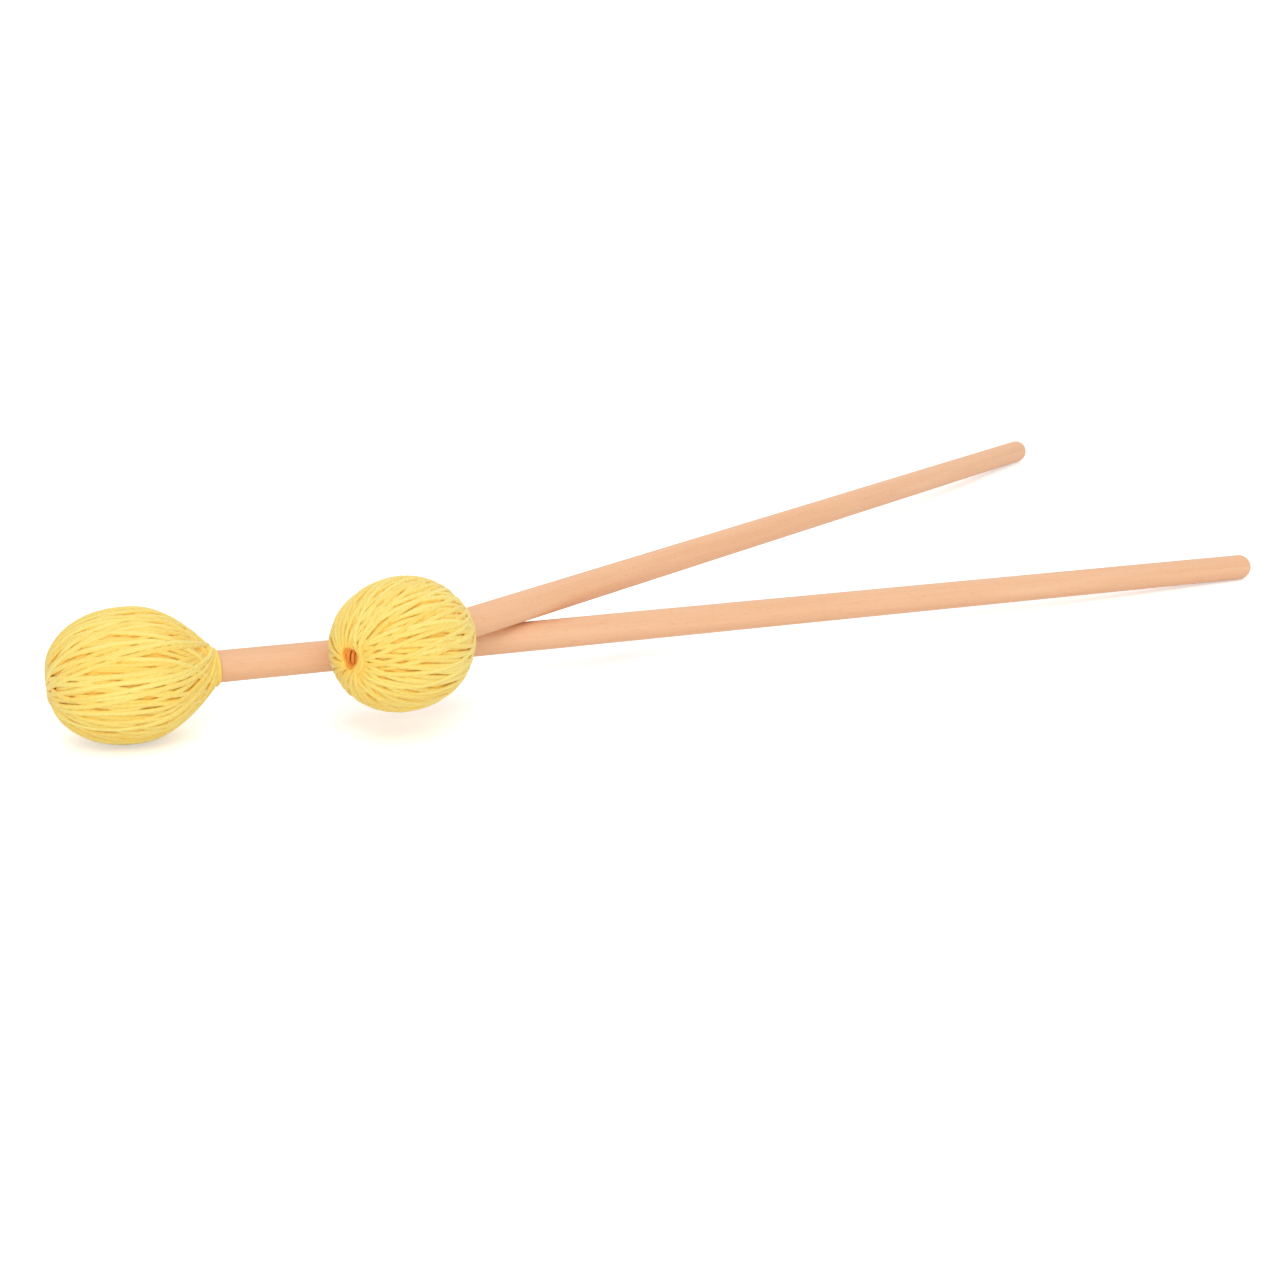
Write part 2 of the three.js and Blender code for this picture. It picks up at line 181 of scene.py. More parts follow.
def beech(name, place):
    """Beech: pale peach, close-grained, with short darker flecks along the grain. Lacquered satin."""
    material = new_material(name)
    coordinates = add_node(material, "TexCoord").outputs["Object"]
    on_axis = {"vector_type": "TEXTURE", "Location": place.to_translation(), "Rotation": place.to_euler()}
    along = add_node(material, "Mapping", on_axis, {"Vector": coordinates}).outputs[0]
    # The tone changes slowly along the shaft.
    tone_place = add_node(material, "Mapping", {"Scale": per_metre(WOOD_TONE_LENGTH, WOOD_TONE_WIDTH)},
                          {"Vector": along})
    tone = add_node(material, "TexNoise", {"Scale": 1.0, "Detail": 2.0}, {"Vector": tone_place.outputs[0]})
    wood = add_node(material, "Mix",
                    {"data_type": "RGBA", MIX_A: linear("#f0c19b"), MIX_B: linear("#e8b48a")},
                    {MIX_FACTOR: tone.outputs["Fac"]})
    # The grain lines are fine and long.
    grain_place = add_node(material, "Mapping", {"Scale": per_metre(GRAIN_LENGTH, GRAIN_SPACING)},
                           {"Vector": along})
    grain = add_node(material, "TexNoise", {"Scale": 1.0, "Detail": 4.0, "Roughness": 0.6},
                     {"Vector": grain_place.outputs[0]})
    lines = add_node(material, "MapRange", {"From Min": 0.35, "From Max": 0.75, "To Max": 0.45},
                     {"Value": grain.outputs["Fac"]})
    lined = add_node(material, "Mix", {"data_type": "RGBA", MIX_B: linear("#e3a677")},
                     {MIX_FACTOR: lines.outputs[0], MIX_A: wood.outputs[MIX_RESULT]})
    # The flecks are the cut ends of the wood's rays.
    fleck_place = add_node(material, "Mapping", {"Scale": per_metre(FLECK_LENGTH, FLECK_SPACING)},
                           {"Vector": along})
    flecks = add_node(material, "TexNoise", {"Scale": 1.0, "Detail": 1.0},
                      {"Vector": fleck_place.outputs[0]})
    fleck_share = add_node(material, "MapRange", {"From Min": 0.62, "From Max": 0.75, "To Max": 0.35},
                           {"Value": flecks.outputs["Fac"]})
    flecked = add_node(material, "Mix", {"data_type": "RGBA", MIX_B: linear("#cf8d5f")},
                       {MIX_FACTOR: fleck_share.outputs[0], MIX_A: lined.outputs[MIX_RESULT]})
    bump = add_node(material, "Bump", {"Strength": 0.25, "Distance": GRAIN_RELIEF * MM},
                    {"Height": grain.outputs["Fac"]})
    surface = shader(material)
    surface.inputs["Roughness"].default_value = 0.55
    surface.inputs["IOR"].default_value = 1.5
    material.node_tree.links.new(flecked.outputs[MIX_RESULT], surface.inputs["Base Color"])
    material.node_tree.links.new(bump.outputs[0], surface.inputs["Normal"])
    return material


shaft_outline = [(TIP_FROM_CROWN, 0.0), (TIP_FROM_CROWN, SHAFT_RADIUS - TIP_CHAMFER),
                 (TIP_FROM_CROWN + TIP_CHAMFER, SHAFT_RADIUS)]
shaft_outline += quarter_ellipse(MALLET_LENGTH - BUTT_DOME_LENGTH, BUTT_DOME_LENGTH, SHAFT_RADIUS,
                                 DOME_SEGMENTS)
for side in SIDES:
    wood = beech(side + "_beech", PLACES[side])
    shaft = spun(side + "_turned_shaft", shaft_outline, SHAFT_STEPS, PLACES[side], wood)
    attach(shaft, side + "_mallet")
    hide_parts(side + "_shaft")

# The rubber cores.
# Each is moulded in one piece, an egg with a flat land round the bore that the shaft is glued into. It gives
# the head its weight and its tone, and the yarn hides it.
RUBBER_CLOUD = 6.0
RUBBER_PEBBLE = 0.4
RUBBER_PEBBLE_RELIEF = 0.1


def moulded_rubber():
    """Moulded rubber: dull brown, faintly cloudy, with a fine pebbled skin."""
    material = new_material("moulded_rubber")
    coordinates = add_node(material, "TexCoord").outputs["Object"]
    cloud = add_node(material, "TexNoise", {"Scale": 1 / (RUBBER_CLOUD * MM), "Detail": 3.0},
                     {"Vector": coordinates})
    pebble = add_node(material, "TexNoise", {"Scale": 1 / (RUBBER_PEBBLE * MM)}, {"Vector": coordinates})
    colour = add_node(material, "Mix",
                      {"data_type": "RGBA", MIX_A: linear("#5b4636"), MIX_B: linear("#6b5443")},
                      {MIX_FACTOR: cloud.outputs["Fac"]})
    bump = add_node(material, "Bump", {"Strength": 0.3, "Distance": RUBBER_PEBBLE_RELIEF * MM},
                    {"Height": pebble.outputs["Fac"]})
    surface = shader(material)
    surface.inputs["Roughness"].default_value = 0.8
    material.node_tree.links.new(colour.outputs[MIX_RESULT], surface.inputs["Base Color"])
    material.node_tree.links.new(bump.outputs[0], surface.inputs["Normal"])
    return material


rubber = moulded_rubber()
for side in SIDES:
    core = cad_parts[side + "_rubber_core"]
    core.data.materials.clear()
    core.data.materials.append(rubber)

# The yarn windings.
# One soft three-ply yarn is wound by hand from the neck over the crown and back, some ninety times. Each
# run passes the crown's middle and the shaft on one side, so the runs lean and cross, and the last ones lie
# on top. Wound tight, they fill the head's outline and leave long slots between them, which painted shade
# turns orange.
HEAD_RADIUS = 16.7
WIDEST_FROM_CROWN = 20.5
WINDING_LENGTH = 40.8
CROWN_POWER_ALONG = 2.25
CROWN_POWER_ACROSS = 2.08
NECK_POWER = 1.1
NECK_LIP_RADIUS = 5.5
OUTLINE_POINTS = 1500


def head_outline():
    """The wound head's outside: distance run along it from the crown, place along the axis and radius."""
    turn = np.linspace(0, math.pi / 2, OUTLINE_POINTS)[:-1]
    share = np.linspace(0, 1, OUTLINE_POINTS)
    drop = HEAD_RADIUS - NECK_LIP_RADIUS
    x = np.concatenate([WIDEST_FROM_CROWN * (1 - np.cos(turn) ** (2 / CROWN_POWER_ALONG)),
                        WIDEST_FROM_CROWN + (WINDING_LENGTH - WIDEST_FROM_CROWN) * share])
    r = np.concatenate([HEAD_RADIUS * np.sin(turn) ** (2 / CROWN_POWER_ACROSS),
                        NECK_LIP_RADIUS + drop * np.cos(math.pi / 2 * share ** NECK_POWER)])
    run = np.concatenate([[0], np.cumsum(np.hypot(np.diff(x), np.diff(r)))])
    return run, x, r


RUN, OUT_X, OUT_R = head_outline()
OUT_SLOPE = np.arctan2(np.gradient(OUT_R, RUN), np.gradient(OUT_X, RUN))
OUT_POLAR = np.arctan2(OUT_R, WIDEST_FROM_CROWN - OUT_X)
WIDEST = int(np.argmax(OUT_R))


def radius_at(run):
    return np.interp(run, RUN, OUT_R)


# Along the shortest way over a round body, the radius times the sine of the lean stays the same. It is also
# how near that way comes to the axis, so it is called the run's miss. Here it grows from crown to neck.
LEAN_MISS = 2.4
LEAN_REACH_SHARE = 0.35
NECK_TURN_POWER = 5
CROWN_PUSH_FADE = 1.8
MOST_MISS_SHARE = 0.99995
RUN_STEPS = 400


def one_run(crown_miss, hole_miss, neck_miss):
    """A run from where it passes the crown to where it passes the shaft: place along the outline, azimuth
    gained and length. It nearly keeps to the shortest way over the head and bends round the crown's hole."""
    start = np.interp(crown_miss, OUT_R[:WIDEST], RUN[:WIDEST])
    end = np.interp(-neck_miss, -OUT_R[WIDEST:], RUN[WIDEST:])
    share = (np.arange(RUN_STEPS) + 0.5) / RUN_STEPS
    run = start + (end - start) * (1 - np.cos(math.pi * share)) / 2
    step = (end - start) * math.pi / 2 * np.sin(math.pi * share) / RUN_STEPS
    part = (run - start) / (end - start)
    r = radius_at(run)
    lean = np.clip(part / LEAN_REACH_SHARE, 0, 1)
    ease = lean ** 2 * (3 - 2 * lean)
    miss = crown_miss + (LEAN_MISS - crown_miss) * ease + (neck_miss - LEAN_MISS) * part ** NECK_TURN_POWER
    miss = np.minimum(miss, r * MOST_MISS_SHARE)
    turn = np.cumsum(miss / (r * r * np.sqrt(1 - (miss / r) ** 2)) * step)
    run = run + (hole_miss - crown_miss) * np.exp(-(run - start) / CROWN_PUSH_FADE)
    return run, turn, np.cumsum(np.hypot(np.gradient(run), radius_at(run) * np.gradient(turn)))


def smoothed(values, width, step):
    """Values at even steps along a line, averaged over a width by a bell curve."""
    reach = max(1, int(3 * width / step))
    bell = np.exp(-0.5 * (np.arange(-reach, reach + 1) * step / width) ** 2)
    return np.convolve(np.pad(values, reach, mode="edge"), bell / bell.sum(), mode="valid")


# The first circuits follow each other closely and cover the head evenly. The later ones lie in groups of
# two or three, with slots between the groups.
FIRST_CIRCUITS = 56
LATER_CIRCUITS = 36
CIRCUITS = FIRST_CIRCUITS + LATER_CIRCUITS
GROUP_SIZES = (2, 2, 3)
ADVANCE_IN_GROUP = math.radians(-4.3)
ADVANCE_BETWEEN_GROUPS = math.radians(-24)
ADVANCE_JITTER_SHARE = 0.22
CROWN_MISS = 1.8
LEAST_CROWN_MISS_SHARE = 0.6
CROWN_HOLE_JITTER_SHARE = 0.24
CROSSING_CIRCUITS = 6
NECK_MISS = 5.6
NECK_MISS_SPREAD = 1.3
WANDER = 0.5
WANDER_LENGTH = 13.0
YARN_STEP = 0.55


def winding_route(random, hole):
    """The whole yarn's way over the head's outside, at even steps: place along the outline, azimuth and
    circuit. Its runs pass the crown's middle at about the hole's radius."""
    runs, turns, lengths, circuits = [], [], [], []
    turn = length = 0.0
    neck_miss = NECK_MISS
    left_in_group = 0
    for circuit in range(CIRCUITS):
        crown_miss = CROWN_MISS * random.uniform(LEAST_CROWN_MISS_SHARE, 1)
        hole_miss = hole * (1 + CROWN_HOLE_JITTER_SHARE * random.uniform(-1, 1))
        if circuit < CROSSING_CIRCUITS:
            hole_miss = crown_miss
        next_miss = NECK_MISS + NECK_MISS_SPREAD * random.uniform(0, 1) ** 2
        up_run, up_turn, up_length = one_run(crown_miss, hole_miss, neck_miss)
        down_run, down_turn, down_length = one_run(crown_miss, hole_miss, next_miss)
        left_in_group -= 1
        advance = ADVANCE_IN_GROUP
        if left_in_group < 1 and circuit >= FIRST_CIRCUITS:
            left_in_group = random.choice(GROUP_SIZES)
            advance = ADVANCE_BETWEEN_GROUPS
        advance *= 1 + ADVANCE_JITTER_SHARE * random.uniform(-1, 1)
        own_turns = np.concatenate([up_turn[-1] - up_turn[::-1], up_turn[-1] + down_turn])
        own_lengths = np.concatenate([up_length[-1] - up_length[::-1], up_length[-1] + down_length])
        share = own_lengths / own_lengths[-1]
        eased = share - np.sin(4 * math.pi * share) / (4 * math.pi)
        missing = 2 * math.pi + advance - own_turns[-1]
        runs += [up_run[::-1], down_run]
        turns.append(turn + own_turns + missing * eased)
        lengths.append(length + own_lengths)
        circuits.append(np.full(2 * RUN_STEPS, circuit))
        turn += 2 * math.pi + advance
        length += own_lengths[-1]
        neck_miss = next_miss
    runs, turns, lengths = map(np.concatenate, (runs, turns, lengths))
    places = np.arange(lengths[0], lengths[-1], YARN_STEP)
    knots = np.arange(0, lengths[-1] + 2 * WANDER_LENGTH, WANDER_LENGTH)
    wander = np.interp(places, knots, random.normal(0, WANDER, len(knots)))
    run = np.interp(places, lengths, runs)
    r = radius_at(run)
    wander = smoothed(wander, WANDER_LENGTH / 4, YARN_STEP) * (r / HEAD_RADIUS) ** 2
    turn = np.interp(places, lengths, turns) + wander / r
    return run, turn, np.interp(places, lengths, np.concatenate(circuits)).astype(int)


# A map of the head's outside, in rows round the axis, tells how deep the yarn already lies in each cell.
MAP_CELL = 0.25
LEAST_MAP_COLUMNS = 8
MAP_ROWS = int(RUN[-1] / MAP_CELL) + 1
ROW_MIDDLES = (np.arange(MAP_ROWS) + 0.5) * MAP_CELL
MAP_COLUMNS = np.ceil(2 * math.pi * radius_at(ROW_MIDDLES) / MAP_CELL)
MAP_COLUMNS = np.maximum(LEAST_MAP_COLUMNS, MAP_COLUMNS).astype(int)
MAP_STARTS = np.concatenate([[0], np.cumsum(MAP_COLUMNS)])


def cells(run, turn):
    """The cell of the map of the head's outside that each place falls in."""
    row = np.clip((run / MAP_CELL).astype(int), 0, MAP_ROWS - 1)
    column = ((turn / (2 * math.pi)) % 1.0 * MAP_COLUMNS[row]).astype(int)
    return MAP_STARTS[row] + np.minimum(column, MAP_COLUMNS[row] - 1)


# ACROSS holds places across the yarn and HALF_THICK half its thickness at each. Yarn sinks into the yarn
# that it crosses, so only a share of the thickness counts, and less the deeper it lies.
YARN_RADIUS = 0.66
PRESSED_SHARE = 0.82
YARN_HALF_THICKNESS = YARN_RADIUS * PRESSED_SHARE
ACROSS = np.linspace(-0.95, 0.95, 11) * YARN_RADIUS
HALF_THICK = np.sqrt(YARN_RADIUS ** 2 - ACROSS ** 2) * PRESSED_SHARE
CONTACT_SHARE = 0.55
PILE_DEPTH = 1.1


def cells_across(run, turn, side_run, side_turn):
    """The cells that the yarn's whole width covers at each place."""
    return cells(run[:, None] + side_run[:, None] * ACROSS, turn[:, None] + side_turn[:, None] * ACROSS)


def depth_under(covered, run, turn, side_run, side_turn):
    """How deep the yarn's middle lies at each place, to pass under what already lies over it."""
    over = covered[cells_across(run, turn, side_run, side_turn)]
    below = over + CONTACT_SHARE * HALF_THICK * np.exp(-over / PILE_DEPTH)
    return np.maximum(YARN_HALF_THICKNESS, np.where(over > 0, below, 0).max(axis=1))


def sideways(run, turn):
    """The way to the yarn's left on the head's outside, per millimetre: along the outline and in azimuth."""
    r = radius_at(run)
    by_run, by_turn = np.gradient(run), np.gradient(turn) * r
    size = np.hypot(by_run, by_turn)
    return -by_turn / size, by_run / size / r


COVER_STEP_SHARE = 0.3


def cover(covered, run, turn, depth):
    """Marks the underside of a stretch of yarn on the map."""
    fine = np.arange(0, len(run) - 1, COVER_STEP_SHARE)
    fine_run, fine_turn, fine_depth = (np.interp(fine, np.arange(len(run)), v) for v in (run, turn, depth))
    side_run, side_turn = sideways(fine_run, fine_turn)
    thick = CONTACT_SHARE * HALF_THICK * np.exp(-(fine_depth[:, None] - YARN_HALF_THICKNESS) / PILE_DEPTH)
    where = cells_across(fine_run, fine_turn, side_run, side_turn)
    np.maximum.at(covered, where.ravel(), (fine_depth[:, None] + thick).ravel())


# NUDGES holds the ways to the side, in millimetres, that are tried for each place of the yarn.
NUDGES = np.linspace(-0.7, 0.7, 9)
NUDGE_COST_SHARE = 0.2
NUDGE_CHOICE_DEPTH = 0.12
NUDGE_SMOOTHING = 2.5
NUDGE_FROM_RADIUS = 4.0
NUDGE_FADE = 5.0
STEEPEST_DIP_SHARE = 0.26
DIP_SMOOTHING = 0.8
DEPTH_SMOOTHING = 1.0
JUNCTION = 5.0


def settled(run, turn, circuits):
    """The route nudged sideways into free places, and the depth of the yarn's middle under the outside. The
    last circuit is settled first, at the very outside, and each earlier one passes under the later ones."""
    covered = np.zeros(MAP_STARTS[-1])
    depth = np.full(len(run), YARN_HALF_THICKNESS)
    turn = turn.copy()
    run = run.copy()
    waiting = None
    for circuit in range(CIRCUITS - 1, -1, -1):
        own = np.flatnonzero(circuits == circuit)
        begin, end = own[0], own[-1] + 1
        here = slice(begin, end)
        side_run, side_turn = sideways(run[here], turn[here])
        depths = np.array([depth_under(covered, run[here] + side_run * nudge, turn[here] + side_turn * nudge,
                                       side_run, side_turn)
                           for nudge in NUDGES])
        costs = depths + NUDGE_COST_SHARE * np.abs(NUDGES)[:, None]
        weights = np.exp(-(costs - costs.min(axis=0)) / NUDGE_CHOICE_DEPTH)
        best = (weights * NUDGES[:, None]).sum(axis=0) / weights.sum(axis=0)
        nudge = smoothed(best, NUDGE_SMOOTHING, YARN_STEP)
        free = np.clip((radius_at(run[here]) - NUDGE_FROM_RADIUS) / NUDGE_FADE, 0, 1)
        run[here] += side_run * nudge * free
        turn[here] += side_turn * nudge * free
        needed = depth_under(covered, run[here], turn[here], side_run, side_turn)
        steps = np.arange(len(needed))
        climb = np.abs(steps[:, None] - steps) * YARN_STEP * STEEPEST_DIP_SHARE
        eased = np.maximum(YARN_HALF_THICKNESS, (needed - climb).max(axis=1))
        depth[here] = smoothed(eased, DIP_SMOOTHING, YARN_STEP)
        # The later circuit's start is marked only now, because this one's end is joined to it.
        if waiting:
            cover(covered, *waiting)
        kept = begin + int(JUNCTION / YARN_STEP)
        cover(covered, run[kept:end], turn[kept:end], depth[kept:end])
        waiting = run[begin:kept + 1], turn[begin:kept + 1], depth[begin:kept + 1]
    return run, turn, smoothed(depth, DEPTH_SMOOTHING, YARN_STEP)


BARE_DEPTH = 9.0
TOP_ROUGHNESS = 0.2
MOST_RISE = 4.0
RISE_SMOOTHING = 1.0
SOFT_LIMIT = 0.15
HOLE_RIM = 0.5
HOLE_RIM_FADE = 1.0
DIMPLE_DEPTH = 0.8
DIMPLE_FADE = 1.5


def tops_to_outline(run, turn, depth, hole):
    """Depths with the usual height of the topmost yarn brought up to the head's outside, all along the head.
    Towards the crown's hole the yarn dips again."""
    tops = np.full(MAP_STARTS[-1], BARE_DEPTH)
    where = cells_across(run, turn, *sideways(run, turn))
    np.minimum.at(tops, where.ravel(), (depth[:, None] - HALF_THICK).ravel())
    usual = np.array([np.median(tops[begin:end]) for begin, end in zip(MAP_STARTS, MAP_STARTS[1:])])
    usual = smoothed(np.clip(usual - TOP_ROUGHNESS, 0, MOST_RISE), RISE_SMOOTHING, MAP_CELL)
    usual *= np.clip((ROW_MIDDLES - hole + YARN_RADIUS + HOLE_RIM) / HOLE_RIM_FADE, 0, 1)
    rise = np.interp(run, ROW_MIDDLES, usual)
    least = (np.sqrt(rise * rise + 4 * SOFT_LIMIT * rise) - rise) / 2
    over = depth - YARN_HALF_THICKNESS - rise
    raised = YARN_HALF_THICKNESS + (over + np.sqrt(over * over + 4 * SOFT_LIMIT * rise)) / 2 - least
    return run, turn, raised + DIMPLE_DEPTH * np.exp(-np.maximum(run - hole, 0) / DIMPLE_FADE)


CROWN_TILTS = {"lower": (math.radians(5), math.radians(7)), "upper": (0, math.radians(3))}


def crown_shifted(run, turn, down, away):
    """The route with the crown's middle tilted off the shaft's axis, by angles down and away from the
    camera's side. The tilt fades out towards the widest place."""
    polar = np.interp(run, RUN, OUT_POLAR)
    fade = 0.5 + 0.5 * np.cos(np.minimum(2 * polar, math.pi))
    toward = np.stack([np.cos(polar), np.sin(polar) * np.cos(turn), np.sin(polar) * np.sin(turn)])
    for axis, angle in ((2, -down), (1, away)):
        swing = angle * fade
        toward[0], toward[axis] = (toward[0] * np.cos(swing) - toward[axis] * np.sin(swing),
                                   toward[0] * np.sin(swing) + toward[axis] * np.cos(swing))
    polar = np.arctan2(np.hypot(toward[1], toward[2]), toward[0])
    return np.interp(polar, OUT_POLAR, RUN), np.unwrap(np.arctan2(toward[2], toward[1]))


def hole_place(side):
    """The turn, in a mallet's own frame, that takes the shaft's axis to the middle of the crown's hole."""
    down, away = CROWN_TILTS[side]
    toward = Vector((-math.cos(down) * math.cos(away), math.cos(down) * math.sin(away), -math.sin(down)))
    swing = Vector((-1, 0, 0)).rotation_difference(toward).to_matrix().to_4x4()
    middle = Matrix.Translation((WIDEST_FROM_CROWN, 0, 0))
    return middle @ swing @ middle.inverted()


def moved(points, matrix):
    """Points in rows, moved by a matrix."""
    matrix = np.array(matrix)
    return points @ matrix[:3, :3].T + matrix[:3, 3]


LEAST_SLOPE_COSINE = 0.2


def yarn_points(run, turn, depth):
    """Points in the mallet's own frame, in millimetres, at a depth under the head's outside, and the way
    out at each."""
    slope = np.interp(run, RUN, OUT_SLOPE)
    r = radius_at(run)
    room = (r - SHAFT_RADIUS - YARN_HALF_THICKNESS) / np.maximum(np.cos(slope), LEAST_SLOPE_COSINE)
    depth = np.where(run > RUN[WIDEST], np.minimum(depth, np.maximum(room, YARN_HALF_THICKNESS)), depth)
    x = np.interp(run, RUN, OUT_X) + depth * np.sin(slope)
    r = r - depth * np.cos(slope)
    points = np.stack([x, r * np.cos(turn), r * np.sin(turn)], axis=1)
    outward = np.stack([-np.sin(slope), np.cos(slope) * np.cos(turn), np.cos(slope) * np.sin(turn)], axis=1)
    return points, outward


YARN_SIDES = 12


def yarn_section():
    """The yarn's round cross-section, as a curve for bevelling."""
    data = bpy.data.curves.new("yarn_section", "CURVE")
    data.dimensions = "2D"
    spline = data.splines.new("POLY")
    spline.points.add(YARN_SIDES - 1)
    spline.use_cyclic_u = True
    for i, point in enumerate(spline.points):
        turn = 2 * math.pi * i / YARN_SIDES
        point.co = (YARN_RADIUS * MM * math.cos(turn), YARN_RADIUS * MM * math.sin(turn), 0, 1)
    section = bpy.data.objects.new("yarn_section", data)
    bpy.context.scene.collection.objects.link(section)
    section.hide_render = True
    return section


def corner_rows(mesh):
    """The places of a mesh's corners, one in a row."""
    corners = np.empty(3 * len(mesh.vertices), np.float32)
    mesh.vertices.foreach_get("co", corners)
    return corners.reshape(-1, 3)


CROWN_HOLES = {"lower": 1.9, "upper": 3.3}
# Painted shade in the crown's hole: its wall counts as this much deeper, from a little inside the hole's
# edge, over a soft fade.
HOLE_SHADE_DEPTH = 1.8
HOLE_SHADE_RIM = 0.1
HOLE_SHADE_FADE = 1.3
HOLE_SHADE_LOBES = 3
HOLE_SHADE_UNEVENNESS = 0.35


def mark_depth(mesh, side):
    """Stores how deep each point lies under the head's outside, in millimetres, from which the yarn's colour
    paints shade.
    The wall of the crown's hole counts as deeper, so it gets more painted shade."""
    own = moved(corner_rows(mesh), PLACES[side].inverted())
    from_hole = moved(own, hole_place(side).inverted())
    x, r = own[:, 0] - WIDEST_FROM_CROWN, np.hypot(own[:, 1], own[:, 2])
    reach = np.interp(np.arctan2(r, -x), OUT_POLAR, np.hypot(OUT_R, WIDEST_FROM_CROWN - OUT_X))
    # The edge of the painted shade in the hole is made a little uneven.
    lobes = np.sin(HOLE_SHADE_LOBES * np.arctan2(from_hole[:, 2], from_hole[:, 1]))
    rim = CROWN_HOLES[side] - HOLE_SHADE_RIM + HOLE_SHADE_UNEVENNESS * lobes
    hole_shade_share = np.clip((rim - np.hypot(from_hole[:, 1], from_hole[:, 2])) / HOLE_SHADE_FADE, 0, 1)
    hole_shade_share *= own[:, 0] < WIDEST_FROM_CROWN / 2
    depth = mesh.attributes.new("depth", "FLOAT", "POINT")
    depth.data.foreach_set("value", (reach - np.hypot(x, r) + HOLE_SHADE_DEPTH * hole_shade_share).astype(np.float32))


def map_yarn(mesh, length):
    """Gives a tube's faces their UV map: the length in millimetres at each ring, and the share of the way
    round."""
    loops = np.empty(len(mesh.loops), np.int32)
    mesh.loops.foreach_get("vertex_index", loops)
    ring, way = np.divmod(loops.reshape(-1, 4), YARN_SIDES)
    last = (way == YARN_SIDES - 1).any(axis=1, keepdims=True)
    way = np.where(last & (way == 0), YARN_SIDES, way)
    uv = np.stack([length[ring], way / YARN_SIDES], axis=2)
    mesh.uv_layers[0].data.foreach_set("uv", uv.astype(np.float32).ravel())


YARN_UNEVENNESS_SHARE = 0.06
YARN_UNEVENNESS_LENGTH = 4.0


def strand(name, side, points, outward, section, random, material, size=1.0):
    """A mesh tube of yarn along points in a mallet's own frame, pressed flat along the directions outward.
    Its UV map runs in millimetres along the yarn and once round it."""
    data = bpy.data.curves.new(name, "CURVE")
    data.dimensions = "3D"
    data.bevel_mode = "OBJECT"
    data.bevel_object = section
    spline = data.splines.new("POLY")
    spline.points.add(len(points) - 1)
    world = moved(points, PLACES[side])
    length = np.concatenate([[0], np.cumsum(np.linalg.norm(np.diff(points, axis=0), axis=1))])
    knots = np.arange(0, length[-1] + 2 * YARN_UNEVENNESS_LENGTH, YARN_UNEVENNESS_LENGTH)
    weighted = np.column_stack([world, np.ones(len(points))])
    spline.points.foreach_set("co", weighted.astype(np.float32).ravel())
    uneven = 1 + YARN_UNEVENNESS_SHARE * np.interp(length, knots, random.uniform(-1, 1, len(knots)))
    spline.points.foreach_set("radius", (uneven * size).astype(np.float32))
    spline.use_smooth = True
    curve = bpy.data.objects.new(name, data)
    bpy.context.scene.collection.objects.link(curve)
    graph = bpy.context.evaluated_depsgraph_get()
    mesh = bpy.data.meshes.new_from_object(curve.evaluated_get(graph), depsgraph=graph)
    mesh.name = name
    bpy.data.objects.remove(curve)
    mesh.materials.clear()
    out = (outward @ np.array(PLACES[side].to_3x3()).T / MM)[:, None]
    rings = corner_rows(mesh).reshape(len(points), YARN_SIDES, 3).astype(float)
    height = ((rings - world[:, None]) * out).sum(axis=2, keepdims=True)
    rings -= (1 - PRESSED_SHARE) * height * out
    rings[:, :, 2] = np.maximum(rings[:, :, 2], 0)
    mesh.vertices.foreach_set("co", rings.astype(np.float32).ravel())
    map_yarn(mesh, length)
    bm = bmesh.new()
    bm.from_mesh(mesh)
    bmesh.ops.holes_fill(bm, edges=[edge for edge in bm.edges if edge.is_boundary], sides=0)
    bmesh.ops.recalc_face_normals(bm, faces=bm.faces[:])
    bm.to_mesh(mesh)
    bm.free()
    mark_depth(mesh, side)
    return new_object(name, mesh, material)


TONE_LENGTH = 60.0
PLIES = 3
PLY_PITCH = 6.0
PLY_DEPTH = 0.12
FIBRE_WIDTH = 0.13
FIBRE_LENGTH = 1.6
FIBRE_DEPTH = 0.08
# Painted shade: from these depths the yarn's colour turns to the slot's shade colour, and deeper still to
# the pit's orange.
SLOT_SHADE_FROM_DEPTH = 0.15
SLOT_SHADE_FULL_DEPTH = 0.85
PIT_SHADE_FROM_DEPTH = 1.3
PIT_SHADE_FULL_DEPTH = 2.3


